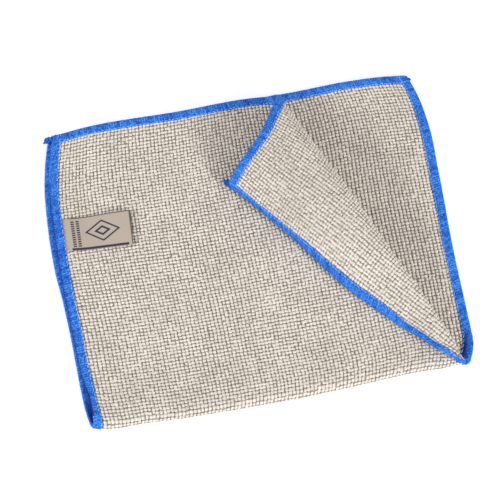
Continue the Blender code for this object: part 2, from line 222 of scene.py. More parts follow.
def folded(x, w):
    """The folded cloth before its corner is turned back: a point and the direction angle of +w there.

    The lower layer is flat, the fold is half a circle, and the upper layer eases down from it.
    """
    left, right = side_positions(w)
    y = from_fold(w)
    far = through(FAR_EDGES, "across", "lower", x)
    to_edge = np.minimum(np.minimum(x - left, right - x), far - y)
    edging = 1.0 - smooth((to_edge - RISE_START) / RISE_REACH)
    base = CLOTH_THICKNESS / 2 + EDGING_RISE * edging
    spacing = LAYER_SPACING + (EDGING_SPACING - LAYER_SPACING) * edging
    turn = np.clip(w / FOLD_RADIUS, -math.pi, 0.0)
    drop = (2 * FOLD_RADIUS - spacing) * smooth(w / FOLD_REACH)
    z = base + FOLD_RADIUS * (1.0 + np.cos(turn)) - drop
    shift = through(FOLD_LINE, "across", "shift", x) * (1.0 - np.clip(y, 0.0, None) / LAYER_LENGTH)
    return np.stack([x, y + shift, z], -1), turn


def arcs(distance, runs):
    """Across, up and turned angle after a distance along arcs of (length, curvature), one after another.

    Each arc starts in the direction in which the last one ended.
    """
    across, up, angle = 0.0, 0.0, 0.0
    for length, curvature in runs:
        here = np.clip(distance, 0.0, length)
        distance = distance - length
        curvature = np.where(np.abs(curvature) < 1e-6, 1e-6, curvature)
        turned = angle + curvature * here
        across = across + (np.sin(turned) - np.sin(angle)) / curvature
        up = up + (np.cos(angle) - np.cos(turned)) / curvature
        angle = turned
    return across, up, angle


def roll_values(x, w):
    """Distance past the line where the upper layer lifts off, and the roll's table values there."""
    rx, ry = x - ROLL_FAR[0], w - ROLL_FAR[1]
    along = rx * ALONG[0] + ry * ALONG[1]
    across = rx * ACROSS[0] + ry * ACROSS[1]
    value = {name: through(ROLL, "along", name, along) for name in ROLL if name != "along"}
    return across - value["offset"] + value["radius"], value


def turned_back(s, v):
    """The flat cloth's point (s, v), folded and with its corner turned back.

    Left of the lift-off line it is on the folded cloth. Right of it, the cloth leaves that line at a
    foot, square to the roll, and follows arcs: up and over the roll, along the drooping flap, and down
    the curl at the flap's long edge.
    """
    x, w = pressed(s, v)
    past, value = roll_values(x, w)
    entry, full = ROLL_EXIT
    past = np.where(w > entry, np.clip(past, 0.0, None), 0.0)
    _, right = side_positions(np.clip(w, 0.0, None))
    total = past + (right - x) / ACROSS[0]
    roll = value["radius"] * np.radians(value["turn"]) * smooth((w - entry) / (full - entry))
    flap = np.clip(total - roll - CURL_LENGTH, 2.0, None)
    across, up, _ = arcs(
        past,
        [
            (roll, 1.0 / value["radius"]),
            (flap, np.radians(value["droop"]) / flap),
            (CURL_LENGTH * 2, np.radians(value["curl"]) / CURL_LENGTH),
        ],
    )
    foot, turn = folded(x - past * ACROSS[0], w - past * ACROSS[1])
    forward = np.stack([np.zeros_like(turn), np.cos(turn), -np.sin(turn)], -1)
    outward = np.stack([np.zeros_like(turn), np.sin(turn), np.cos(turn)], -1)
    sideways = ACROSS[0] * np.array([1.0, 0.0, 0.0]) + ACROSS[1] * forward
    return foot + across[..., None] * sideways + up[..., None] * outward


def drawn_tight(s, v):
    """The same, but where the fold and the roll meet at the right side the cloth cuts the corner.

    There it is a weighted mean of turned_back over a stretch along the edge.
    """
    distance = np.hypot((s - CORNER[0]) / CORNER_REACH[0], (v - CORNER[1]) / CORNER_REACH[1])
    stretch = CORNER_CUT * smooth(1.2 - 1.2 * distance)
    point = 0.0
    for step in np.linspace(-1.0, 1.0, CORNER_SAMPLES + 2)[1:-1]:
        weight = (1.0 + math.cos(math.pi * step)) / (CORNER_SAMPLES + 1)
        point = point + weight * turned_back(s, v + step * stretch)
    return point


def laid(s, v):
    """Where the flat cloth's point (s, v) lies, at the middle of the cloth's thickness.

    Round that corner the right side fans out from LOOP_START, like the treads of a winding stair, and
    it stays up at the height of the lower layer.
    """
    point = drawn_tight(s, v)
    start = drawn_tight(LOOP_START + 0 * s, v)
    ahead = start - drawn_tight(LOOP_START - 4.0 + 0 * s, v)
    ahead /= np.linalg.norm(ahead, axis=-1, keepdims=True)
    turned = smooth((v - CORNER[1] + LOOP_REACH) / (2 * LOOP_REACH))
    angle = LOOP_TURN * turned
    stair = np.stack([np.cos(angle), np.sin(angle), LOOP_RISE + 0 * angle], -1)
    beyond = np.clip(s - LOOP_START, 0.0, None) * (1.0 - 4.0 * LOOP_BUNCH * turned * (1.0 - turned))
    beyond = beyond[..., None]
    ahead = ahead + smooth(beyond / LOOP_EASE) * (stair - ahead)
    nearness = smooth(1.5 - np.abs(v - CORNER[1]) / LOOP_REACH)
    fan = nearness * (s > LOOP_START)
    point = point + fan[..., None] * (start + beyond * ahead - point)
    edging = 1.0 - smooth((CLOTH_WIDTH - s - RISE_START) / RISE_REACH)
    lowest = CLOTH_THICKNESS / 2 + EDGING_RISE * edging
    above = point[..., 2] - lowest
    soft = CORNER_SOFTNESS * nearness * smooth((s - 0.8 * CLOTH_WIDTH) / (0.1 * CLOTH_WIDTH))
    point[..., 2] = lowest + (above + np.sqrt(above * above + soft * soft)) / 2
    return point


# ---- the laid cloth, sampled once -------------------------------------------------------------------
GRID_STEP = 1.0
FACE = CLOTH_THICKNESS / 2  # from the middle of the cloth to its face
NEAR_END, FAR_END = -LAYER_LENGTH - FOLD_ARC, LAYER_LENGTH  # v at the lower and the upper far edge
UPPER_WAVE = 0.3  # how far the upper layer's unevenness goes up and down
LOWER_WAVE = 0.12
WAVE_REACH = 30.0  # how far from the fold it takes to grow


def eased(x, start, end):
    """0 on start's side and 1 on end's, with an S-shaped ease between; start may be the larger."""
    return smooth((x - start) / (end - start))


def bell(x, middle, reach):
    """A hump, exp(-u*u) with u = (x - middle) / reach: 1 at its middle, fading to 0 on both sides."""
    return np.exp(-(((x - middle) / reach) ** 2))


def waves(s, v):
    """A gentle unevenness: sines of unlike lengths and directions, added; about -1 to 1."""
    return (
        np.sin(s / 17.0 + 0.9 * np.sin(v / 31.0))
        + np.sin(v / 14.0 + 1.3 * np.sin(s / 37.0) + 1.0)
        + np.sin((s + v) / 23.0 + 2.0)
    ) / 3.0


# How far the cloth's left and right edges slip to the right, by place along the cloth.
SLIP = table(
    "v  left  right",
    (-255.0,  0.4,  0.0),
    (-225.0,  0.7,  0.4),
    (-200.0,  0.6,  0.9),
    (-170.0, -0.8,  0.8),
    (-140.0, -0.9,  0.6),
    (-115.0,  0.3,  0.0),
    (-60.0,  -0.3,  0.0),
    (-25.0,  -1.3,  0.2),
    (-12.0,  -1.4,  0.5),
    (0.0,    -1.6,  0.0),
    (60.0,   -1.8,  0.0),
    (120.0,  -0.6,  0.0),
    (150.0,   0.3,  0.0),
    (190.0,   1.3,  0.0),
    (225.0,   1.9,  0.0),
    (250.0,   1.5,  0.0),
)  # fmt: skip

# How far the fold sags towards the near side, by place across the cloth.
SAG = table(
    "s  near",
    (0.0,   -3.1),
    (5.0,   -1.8),
    (10.0,   0.2),
    (20.0,   0.4),
    (40.0,  -0.6),
    (62.0,   0.2),
    (120.0,  0.5),
    (240.0,  2.0),
    (265.0,  2.8),
    (280.0,  4.0),
    (288.0,  5.6),
    (294.0,  3.4),
    (300.0, -1.6),
)  # fmt: skip

# How far the turned-back long edge shifts away from the near side, by place along the cloth.
TIP = table(
    "v  far",
    (-12.0, 0.0),
    (0.0,   1.2),
    (12.0,  2.3),
    (26.0,  2.0),
    (63.0,  1.1),
    (95.0,  0.0),
)  # fmt: skip

# How far in from its own edge each shift fades out.
LEFT_FADE, RIGHT_FADE, TIP_FADE = 45.0, 25.0, 16.0
SAG_REACH = 35.0  # and the sag, up both layers from the fold

PINCH = 2.2  # the left edging is drawn in by this, a little above the fold
PINCH_AT, PINCH_REACH, PINCH_FADE = 15.0, 16.0, 8.0

# The turned-back edges bow out: the long one to the right and away, the short one to the right. The
# pairs say between which values, along the cloth and in from the long edge, each bow comes or goes.
LONG_BOW, LONG_BOW_WAY = 2.4, (0.62, 0.78)
LONG_BOW_COMES, LONG_BOW_EBBS = (105.0, 185.0), (232.0, 250.0)
LONG_BOW_EBB = 0.6  # the share of it that goes again
LONG_BOW_FADE = 45.0
SHORT_BOW = 1.5
SHORT_BOW_COMES = (210.0, 250.0)
SHORT_BOW_INWARD, SHORT_BOW_GOES = (15.0, 55.0), (120.0, 95.0)


def slipped(s, v):
    """The soft cloth's small shifts on the surface, in mm: of its sides, fold and turned-back edges.

    Each is an amount along an edge, times an ease that fades it out inwards from there.
    """
    inward = CLOTH_WIDTH - s
    left = np.interp(v, SLIP["v"], SLIP["left"]) * eased(s, LEFT_FADE, 0.0)
    right = np.interp(v, SLIP["v"], SLIP["right"]) * eased(inward, RIGHT_FADE, 0.0)
    pinched = PINCH * bell(v, PINCH_AT, PINCH_REACH) * eased(s, PINCH_FADE, 0.0)
    long_bow = LONG_BOW * eased(v, *LONG_BOW_COMES) * (1.0 - LONG_BOW_EBB * eased(v, *LONG_BOW_EBBS))
    long_bow = long_bow * eased(inward, LONG_BOW_FADE, 0.0)
    short_bow = SHORT_BOW * eased(v, *SHORT_BOW_COMES)
    short_bow = short_bow * eased(inward, *SHORT_BOW_INWARD) * eased(inward, *SHORT_BOW_GOES)
    tip = np.interp(v, TIP["v"], TIP["far"]) * eased(inward, TIP_FADE, 0.0)
    sag = np.interp(s, SAG["s"], SAG["near"]) * bell(v, 0.0, SAG_REACH)
    to_right = left + right + pinched + LONG_BOW_WAY[0] * long_bow + short_bow
    away = LONG_BOW_WAY[1] * long_bow + tip - sag
    return np.stack([to_right, away, 0.0 * s], -1)


class Sheet:
    """laid() on a regular grid of the flat cloth, with its normals, and a bilinear look-up between."""

    def __init__(self):
        self.s = np.linspace(0.0, CLOTH_WIDTH, int(CLOTH_WIDTH / GRID_STEP) + 1)
        self.v = np.linspace(NEAR_END, FAR_END, int((FAR_END - NEAR_END) / GRID_STEP) + 1)
        s, v = np.meshgrid(self.s, self.v)
        middle = laid(s, v) + slipped(s, v)
        wave = waves(s, v)
        upper = UPPER_WAVE * wave * eased(v, 0.0, WAVE_REACH)
        lower = LOWER_WAVE * (1.0 + wave) * eased(v, -FOLD_ARC, -FOLD_ARC - WAVE_REACH)
        self.middle = middle + (upper - lower)[..., None] * self.normals(middle)
        self.normal = self.normals(self.middle)

    @staticmethod
    def normals(middle):
        """Unit normals from the grid's own slopes: across the cloth times along it."""
        normal = np.cross(np.gradient(middle, axis=1), np.gradient(middle, axis=0))
        return normal / np.linalg.norm(normal, axis=-1, keepdims=True)

    def at(self, s, v, height):
        """The point at a height off the middle of the cloth, + on its outer face's side, in metres.

        Nothing reaches below the surface that the cloth lies on: its underside presses flat there.
        """
        s, v, height = np.broadcast_arrays(s, v, height)
        across = (s - self.s[0]) / (self.s[1] - self.s[0])
        along = (v - self.v[0]) / (self.v[1] - self.v[0])
        i = np.clip(np.floor(across).astype(int), 0, len(self.s) - 2)
        j = np.clip(np.floor(along).astype(int), 0, len(self.v) - 2)
        a, b = (across - i)[..., None], (along - j)[..., None]
        point, normal = (
            (grid[j, i] * (1 - a) + grid[j, i + 1] * a) * (1 - b)
            + (grid[j + 1, i] * (1 - a) + grid[j + 1, i + 1] * a) * b
            for grid in (self.middle, self.normal)
        )
        normal = normal / np.linalg.norm(normal, axis=-1, keepdims=True)
        place = point + height[..., None] * normal - np.array([*BOX_CENTRE, 0.0])
        place[..., 2] = np.maximum(place[..., 2], 0.0)
        return place * MM


SHEET = Sheet()


def under_roll(s, v):
    """Distance to the right of the line where the upper layer lifts off, for a point of either layer."""
    x, w = pressed(s, v)
    past, value = roll_values(x, from_fold(w))
    return past - value["radius"]


# ---- meshes -----------------------------------------------------------------------------------------
def mesh_object(name, points, faces, material, values):
    """An object from an array of points and one of faces, all with the same number of corners.

    values gives numbers at each point, kept as attributes which the material reads.
    """
    mesh = bpy.data.meshes.new(name)
    points = np.asarray(points, np.float32).reshape(-1, 3)
    mesh.vertices.add(len(points))
    mesh.vertices.foreach_set("co", points.ravel())
    mesh.loops.add(faces.size)
    mesh.loops.foreach_set("vertex_index", np.ascontiguousarray(faces, np.int32).ravel())
    mesh.polygons.add(len(faces))
    mesh.polygons.foreach_set("loop_start", np.arange(0, faces.size, faces.shape[1], dtype=np.int32))
    mesh.update(calc_edges=True)
    mesh.shade_smooth()
    for key, numbers in values.items():
        layer = mesh.attributes.new(key, "FLOAT", "POINT")
        layer.data.foreach_set("value", np.asarray(numbers, np.float32).ravel())
    mesh.materials.append(material)
    body = bpy.data.objects.new(name, mesh)
    bpy.context.scene.collection.objects.link(body)
    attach(body, "root")
    return body


def grid_faces(rows, columns, closed=False):
    """The four-sided faces of a grid of points, whose last column may meet its first."""
    index = np.arange(rows * columns).reshape(rows, columns)
    if closed:
        index = np.concatenate([index, index[:, :1]], axis=1)
    faces = np.stack([index[:-1, :-1], index[:-1, 1:], index[1:, 1:], index[1:, :-1]], -1)
    return faces.reshape(-1, 4)


def closed_sheet(name, top, bottom, material, values):
    """A closed body between two grids which face away from each other: two faces and a rim."""
    rows, columns = top.shape[:2]
    count = rows * columns
    faces = grid_faces(rows, columns)
    index = np.arange(count).reshape(rows, columns)
    rim = np.concatenate([index[0, :-1], index[:-1, -1], index[-1, :0:-1], index[:0:-1, 0]])
    ahead = np.roll(rim, -1)
    sides = np.stack([ahead, rim, rim + count, ahead + count], -1)
    points = np.concatenate([top.reshape(-1, 3), bottom.reshape(-1, 3)])
    faces = np.concatenate([faces, faces[:, ::-1] + count, sides])
    return mesh_object(name, points, faces, material, values)


def tube_faces(rings, sides):
    """The triangles of a closed body of rings carried along a path; flat caps end it."""
    body = grid_faces(rings, sides, closed=True)
    fan = np.arange(1, sides - 1)
    cap = np.stack([0 * fan, fan, fan + 1], -1)
    last = cap[:, ::-1] + (rings - 1) * sides
    return np.concatenate([body[:, :3], body[:, [0, 2, 3]], cap, last])


def repeated(faces, size, count):
    """One body's faces for each of count bodies, whose points follow one another, size to a body."""
    return faces[None] + size * np.arange(count)[:, None, None]


def round_turn(sides):
    """The angles of a ring's points, as a row."""
    return np.linspace(0.0, 2 * math.pi, sides + 1)[None, :-1]


# ---- materials --------------------------------------------------------------------------------------
class Value:
    """A node's output; an expression on it adds the Math nodes."""

    def __init__(self, finish, socket):
        self.finish, self.socket = finish, socket

    def maths(self, operation, *values):
        """A Math node on these values."""
        return self.finish.node("ShaderNodeMath", {"operation": operation}, dict(enumerate(values)))

    def __add__(self, other):
        return self.maths("ADD", self, other)

    def __sub__(self, other):
        return self.maths("SUBTRACT", self, other)

    def __rsub__(self, other):
        return self.maths("SUBTRACT", other, self)

    def __mul__(self, other):
        return self.maths("MULTIPLY", self, other)

    def __truediv__(self, other):
        return self.maths("DIVIDE", self, other)

    def __abs__(self):
        return self.maths("ABSOLUTE", self)

    __radd__, __rmul__ = __add__, __mul__


def highest(value, *others):
    """The largest of several values."""
    for other in others:
        value = value.maths("MAXIMUM", value, other)
    return value


class Finish:
    """A material on a Principled BSDF, with short ways to add its nodes."""

    def __init__(self, name, **fixed):
        self.material = bpy.data.materials.new(name)
        self.material.use_nodes = True
        self.tree = self.material.node_tree
        self.shader = self.tree.nodes["Principled BSDF"]
        for key, value in fixed.items():
            self.shader.inputs[key.replace("_", " ")].default_value = value

    def node(self, kind, settings, inputs=None, output=0):
        """Any node: its settings first, then the values or links of its sockets."""
        made = self.tree.nodes.new(kind)
        for key, value in settings.items():
            setattr(made, key, value)
        for key, value in (inputs or {}).items():
            self.put(made.inputs[key], value)
        return Value(self, made.outputs[output])

    def put(self, socket, value):
        """A value or a link into a socket."""
        if isinstance(value, Value):
            self.tree.links.new(value.socket, socket)
        else:
            socket.default_value = value

    def attribute(self, name):
        """A number kept at the mesh's points."""
        return self.node("ShaderNodeAttribute", {"attribute_name": name}, output="Fac")

    def noise(self, size, detail=2.0):
        """A noise from 0 to 1 with features about size across, in millimetres."""
        place = self.node("ShaderNodeTexCoord", {}, output="Object")
        inputs = {"Vector": place, "Scale": 1.0 / (size * MM), "Detail": detail}
        return self.node("ShaderNodeTexNoise", {}, inputs)

    def mix(self, share, first, second):
        """Two colours mixed by a share from 0 to 1: the node's inputs 6 and 7, and its output 2."""
        settings = {"data_type": "RGBA", "clamp_factor": True}
        return self.node("ShaderNodeMix", settings, {0: share, 6: first, 7: second}, output=2)

    def step(self, value, start, end):
        """0 on start's side and 1 on end's, and smooth between; start may be the larger."""
        settings = {"interpolation_type": "SMOOTHSTEP"}
        return self.node("ShaderNodeMapRange", settings, {0: value, 1: start, 2: end})

    def band(self, value, middle, outer, inner):
        """1 within inner of the middle, and 0 from outer on."""
        return self.step(abs(value - middle), outer, inner)

    def bump(self, height, distance, strength):
        """A Bump node on the shader's normal; distance in millimetres."""
        inputs = {"Height": height, "Distance": distance * MM, "Strength": strength}
        self.put(self.shader.inputs["Normal"], self.node("ShaderNodeBump", {}, inputs))

    def colour(self, value):
        """The shader's base colour."""
        self.put(self.shader.inputs["Base Color"], value)


def shade(colour, factor=1.0):
    """A colour made lighter or darker, with its alpha."""
    return (*(min(1.0, c * factor) for c in colour), 1.0)


KNIT_COLOUR = (0.735, 0.672, 0.60)  # greige microfibre
KNIT_GROOVE_SHADE = (0.215, 0.186, 0.158)  # the same, darkened between the pearls as painted shade
PEARL_SHADES = (0.74, 1.18)  # the darkest and the lightest pearl, as shares of KNIT_COLOUR
FIBRE, TUFT, PATCH = 0.35, 1.1, 26.0  # the sizes of its fibres, tufts and faint patches
TONE_SHARE, TUFT_SHARE, PATCH_SHARE = 0.28, 0.52, 0.20  # what each does to a pearl's lightness
GROOVE_SHADE_FADE = (0.05, 0.85)  # where the grooves' painted shade fades out: from groove to pearl, in height, with half a tuft added
BLUE = (0.070, 0.305, 0.90)  # overlock thread, where it bulges and takes painted light
BLUE_DARK_AND_SHADED = (0.006, 0.068, 0.40)  # painted shade between its stitches, and its darker strands
BLUE_SHADOW = (0.001, 0.014, 0.17)  # deep between the two layers' edges
STRAND = 1.1  # the size of its lighter and darker strands
# Its lightness: its bulge, as painted light and shade, and its strands, less its tone and a little more.
BULGE_SHARE, STRAND_SHARE, THREAD_TONE_SHARE, THREAD_DARKER = 0.4, 0.6, 0.36, 0.05
NEEDLE_BLUE = (0.40, 0.56, 0.90)  # the needle thread, paler
LABEL_GROUND = (0.424, 0.361, 0.297)
LABEL_SHADES, LABEL_THREAD = (0.88, 1.12), 0.5  # of its weave: shares of that colour, and the size
NAVY = (0.016, 0.013, 0.050)
LABEL_EDGE_SHADOW = (0.075, 0.060, 0.050)  # painted shadow along its far side and at its free end
EDGE_SHADOW_COVER, MARK_COVER = 0.85, 0.96  # how far the painted edge shadow's and the marks' colours hide the weave


def knit_finish():
    """Matt microfibre: painted shade in the grooves between the pearls, pearls of unlike lightness, and
    tufts.
    """
    finish = Finish("greige pearl knit", Roughness=0.95, Specular_IOR_Level=0.2)
    height = finish.attribute("height")
    tone = finish.attribute("tone")
    tufts = finish.step(finish.noise(TUFT), 0.32, 0.68)
    patches = finish.step(finish.noise(PATCH), 0.3, 0.7)
    lightness = tone * TONE_SHARE + tufts * TUFT_SHARE + patches * PATCH_SHARE
    darkest, lightest = (shade(KNIT_COLOUR, factor) for factor in PEARL_SHADES)
    cells = finish.mix(lightness, darkest, lightest)
    # Painted shade: the lower a corner, the nearer its colour to the grooves' shade.
    out_of_groove_shade = finish.step(height + 0.5 * tufts, *GROOVE_SHADE_FADE)
    finish.colour(finish.mix(out_of_groove_shade, shade(KNIT_GROOVE_SHADE), cells))
    finish.bump(finish.noise(FIBRE, 3.0), 0.25, 0.6)
    return finish.material


def thread_finish(name, light, deep):
    """Overlock thread: painted light where it bulges, painted shade of deep blue between the stitches, and
    mottled.
    """
    finish = Finish(name, Roughness=0.7, Specular_IOR_Level=0.12)
    height = finish.attribute("height")
    tone = finish.attribute("tone")
    strands = finish.step(finish.noise(STRAND, 3.0), 0.34, 0.66)
    lightness = height * BULGE_SHARE + strands * STRAND_SHARE - tone * THREAD_TONE_SHARE - THREAD_DARKER
    thread = finish.mix(finish.step(lightness, 0.0, 1.0), shade(deep), shade(light))
    finish.colour(finish.mix(finish.attribute("shadow"), thread, shade(BLUE_SHADOW)))
    finish.bump(strands, 0.3, 0.6)
    return finish.material


# ---- the knit ---------------------------------------------------------------------------------------
PEARL_PITCH = 2.85  # one knitted cell across the cloth
ROW_PITCH = 2.70  # and along it
PEARL_HEIGHT = 0.45
PEARL_LEVEL = -0.28  # of the pearls' lowest corners, from the cloth's face
RIM = 5.0  # the pearls start this far in from the cut edge
FRONT_SHARE, BACK_SHARE = (1.0, 1.02), (0.97, 1.06)  # of a cell that a pearl fills, across and along

# How much the pearls differ: in place, in mm; in width, length and height, as shares; in the places
# of their corners, in half cells; and in tone, round its middle.
PLACE_SPREAD, SIZE_SPREAD, HEIGHT_SPREAD, CORNER_SPREAD = 0.14, 0.08, 0.25, 0.07
TONE, TONE_SPREAD = 0.5, 0.24

# One pearl: a rounded square of eight rim points and four top ones, in half cells.
PEARL_POINTS = table(
    "across  along  up",
    (-0.78, -0.78,  0.0),
    (0.0,   -1.0,   0.25),
    (0.78,  -0.78,  0.0),
    (1.0,    0.0,   0.25),
    (0.78,   0.78,  0.0),
    (0.0,    1.0,   0.25),
    (-0.78,  0.78,  0.0),
    (-1.0,   0.0,   0.25),
    (-0.48, -0.48,  1.0),
    (0.48,  -0.48,  1.0),
    (0.48,   0.48,  1.0),
    (-0.48,  0.48,  1.0),
)  # fmt: skip
CORNERS = len(PEARL_POINTS["up"])
TOP_FACES = [(8, 9, 10), (8, 10, 11)]
BOTTOM_FACES = [(0, k + 1, k) for k in range(1, 7)]

# What makes the grooves' painted shade lighter: where a pearl meets the next one, across and along,
# on each face; painted light where the back turns steep over the roll; and painted light all over
# the turned-back flap. In the crook beside the fold's right end the back gets painted shade.
MEETING_LIGHT = {1: (0.14, 0.10), -1: (0.0, 0.2)}
STEEP_PAINTED_LIGHT = 0.35
STEEP_LIGHT_RANGE, STEEP_LIGHT_END = (0.85, 0.25), -0.5  # how far the back's normal points up
FLAP_PAINTED_LIGHT = 0.17
CROOK_PAINTED_SHADE = 0.9
CROOK_AT, CROOK_REACH = 1.0, 16.0  # along the cloth
CROOK_INWARD = (16.0, 11.0)  # in from the right edge


def pearl_faces():
    """The triangles of one pearl: its top, its sides and its foot."""
    sides = []
    for k in range(4):
        top, next_top = 8 + k, 8 + (k + 1) % 4
        rim, middle, next_rim = 2 * k, 2 * k + 1, (2 * k + 2) % 8
        sides += [(top, rim, middle), (top, middle, next_top), (next_top, middle, next_rim)]
    return np.array(TOP_FACES + sides + BOTTOM_FACES)


def drift(i, j, phase):
    """A slow wander of the knit's lines, in cells: sines along and across it."""
    along = 0.22 * np.sin(j / 9.0 + phase + 1.1 * np.sin(i / 13.0))
    return along + 0.16 * np.sin(i / 6.0 - j / 17.0 + 2 * phase)


def pearl_lightness(face, s, v):
    """The height that the knit's colour follows, for each corner of the pearls at (s, v).

    It is the corner's own height in its pearl, which paints shade into the grooves, with what
    lightens that shade added and, in the crook, painted shade.
    """
    meets_across, meets_along = (np.abs(PEARL_POINTS[key]) == 1.0 for key in ("across", "along"))
    across_light, along_light = MEETING_LIGHT[face]
    height = PEARL_POINTS["up"] + meets_across * across_light + meets_along * along_light
    if face > 0:
        return np.tile(np.minimum(height, 1.0), len(s))
    # Painted light where the back turns steep over the roll and all over the flap; painted shade in the
    # crook.
    facing_up = (SHEET.at(s, v, 0.0) - SHEET.at(s, v, 1.0))[:, 2] / MM
    steep_lit = eased(facing_up, *STEEP_LIGHT_RANGE) * (facing_up > STEEP_LIGHT_END)
    crook_shade = bell(v, CROOK_AT, CROOK_REACH) * eased(CLOTH_WIDTH - s, *CROOK_INWARD)
    height = np.minimum(height + STEEP_PAINTED_LIGHT * steep_lit[:, None], 1.0)
    return (height + FLAP_PAINTED_LIGHT * (v[:, None] > 0)) * (1.0 - CROOK_PAINTED_SHADE * crook_shade[:, None])


def pearls(name, face, keep, material, seed):
    """The raised cells of one face of the knit, over the part of the cloth that keep() chooses.

    Each cell is a closed pillow, and its place, size, height and lightness differ a little, as do
    its corners.
    """
    random = np.random.default_rng(seed)
    columns = np.arange(round((CLOTH_WIDTH - 2 * RIM) / PEARL_PITCH))
    rows = np.arange(round((FAR_END - NEAR_END - 2 * RIM) / ROW_PITCH))
    i, j = np.meshgrid(columns, rows)
    s = RIM + (i + 0.5 + drift(i, j, 0.4)) * PEARL_PITCH
    v = NEAR_END + RIM + (j + 0.5 + drift(j, i, 1.7)) * ROW_PITCH
    chosen = keep(s, v)
    s, v = s[chosen], v[chosen]
    count = len(s)
    s = s + random.normal(0.0, PLACE_SPREAD, count)
    v = v + random.normal(0.0, PLACE_SPREAD, count)
    share = FRONT_SHARE if face > 0 else BACK_SHARE
    wide = 0.5 * PEARL_PITCH * share[0] * (1.0 + random.normal(0.0, SIZE_SPREAD, count))
    long = 0.5 * ROW_PITCH * share[1] * (1.0 + random.normal(0.0, SIZE_SPREAD, count))
    high = PEARL_HEIGHT * (1.0 + random.normal(0.0, HEIGHT_SPREAD, count))
    across = PEARL_POINTS["across"] + random.normal(0.0, CORNER_SPREAD, (count, CORNERS))
    along = PEARL_POINTS["along"] + random.normal(0.0, CORNER_SPREAD, (count, CORNERS))
    tone = np.clip(random.normal(TONE, TONE_SPREAD, count), 0.0, 1.0)
    across = s[:, None] + wide[:, None] * across
    along = v[:, None] + long[:, None] * along
    rise = FACE + PEARL_LEVEL + PEARL_POINTS["up"] * high[:, None]
    points = SHEET.at(across, along, face * rise)
    faces = repeated(pearl_faces()[:, ::face], CORNERS, count).reshape(-1, 3)
    values = {"height": pearl_lightness(face, s, v), "tone": np.repeat(tone, CORNERS)}
    return mesh_object(name, points, faces, material, values)


GROUND_DEPTH = 0.45  # of the ground below the cloth's face
GROUND_INSET = 1.3  # in from the cut edge
GROUND_POINTS = (130, 106, 11)  # across, along each layer and round the fold


def ground(material):
    """The knit's ground: a closed sheet from edge to edge, which the pearls stand on."""
    across, along, round_fold = GROUND_POINTS
    lower = np.linspace(NEAR_END + GROUND_INSET, -FOLD_ARC, along)
    fold = np.linspace(-FOLD_ARC, 0.0, round_fold)
    upper = np.linspace(0.0, FAR_END - GROUND_INSET, along)
    s = np.linspace(GROUND_INSET, CLOTH_WIDTH - GROUND_INSET, across)[None, :]
    v = np.concatenate([lower[:-1], fold, upper[1:]])[:, None]
    depth = FACE - GROUND_DEPTH
    top, bottom = SHEET.at(s, v, depth), SHEET.at(s, v, -depth)
    # At height 0 the ground takes the grooves' painted shade all over.
    zero = np.zeros(2 * s.size * v.size)
    return closed_sheet("knit_ground", top, bottom, material, {"height": zero, "tone": zero + TONE})


# ---- the overlocked edging --------------------------------------------------------------------------
RIB_PITCH = 2.0  # from one stitch of the overlock to the next
RIB_RISE = 0.34
RIB_STEPS = 5  # rings to a stitch
RIB_SLANT = 0.22  # how far a stitch runs along the edge for each millimetre across it
RIB_SPREAD = 0.16  # how much the stitches' rises differ, as a share
RIB_MEAN = 0.55  # the share of its rise that a stitch sinks, so that the ribs keep to the section
RIB_TONE, RIB_TONE_SPREAD = 0.35, 0.25
SPARE_RIBS, FIRST_RIB = 8, 3  # sizes drawn beyond the run's own, and the one that it starts with
RIB_WANDER, WANDER_LENGTH = 0.16, 7.0  # of the inner edge, in and out
INNER_EDGE = 5.0  # what lies further in than this wanders
END_ROUNDING = 1.2  # along the run, over which its end thins to END_THICKNESS
END_THICKNESS = 0.3

# Half of the overlock's section, from its inner edge on the outer face to the cut edge: how far in
# from the cut edge, how high off the middle of the cloth, and which way its stitches bulge.
SECTION = table(
    "inward  height  bulge_in  bulge_up",
    (7.3,    0.7,     0.4,      0.0),
    (7.4,    1.35,    0.7,      0.5),
    (6.7,    1.75,    0.2,      1.0),
    (5.2,    1.90,    0.0,      1.0),
    (3.4,    1.92,    0.0,      1.0),
    (1.8,    1.85,    0.0,      1.0),
    (0.75,   1.50,   -0.5,      0.8),
    (0.15,   0.80,   -0.9,      0.4),
    (0.0,    0.0,    -1.0,      0.0),
)  # fmt: skip

LABEL_COVER = (2.5, 0.0)  # beside the label, where the overlock rises over its end
LABEL_RISE = 0.45
LABEL_RISE_INWARD = (3.5, 6.5)

SIDE = 20.0  # a stitch this near a side edge belongs to a side run
INNER_FACE, OUTER_FACE = -0.2, 0.5  # one below or above these heights is on that face

# The overlock's shadows ease from none to full between these, and go as deep as their shares say.
NEAR_FOLD = (46.0, 16.0)  # along the cloth, either way from the fold
RIM_INWARD, RIM_ALONG = (2.0, 1.2), (215.0, 190.0)  # the left run's rim on the upper layer
RIM_START = 2.0  # along the cloth
RIM_SHADOW = (0.75, 0.25)  # everywhere along it, and more near the fold
SLIT_INWARD, SLIT_SHADOW = (0.6, 1.4), 0.95  # its inner face, near the fold
NOOK_INWARD, NOOK_SHADOW = (2.4, 5.0), 0.95  # the right run's inner face, below the roll's end
NOOK_AT, NOOK_REACH = -21.0, 11.0
ROLLED_ALONG, ROLLED_SHADOW = (30.0, 60.0), 0.5  # what the roll turns face down


def section():
    """The whole ring: the half above, and its mirror image on the inner face."""
    lower = slice(-2, None, -1)
    signs = {"inward": 1, "height": -1, "bulge_in": 1, "bulge_up": -1}
    return {key: np.concatenate([SECTION[key], sign * SECTION[key][lower]]) for key, sign in signs.items()}


def over_label(s, v):
    """1 where the overlock covers the label's end, fading to 0 beside it."""
    beside = np.abs(v - LABEL_MIDDLE) - 0.5 * LABEL_WIDTH
    return (s < SIDE) * (v > 0) * eased(beside, *LABEL_COVER)


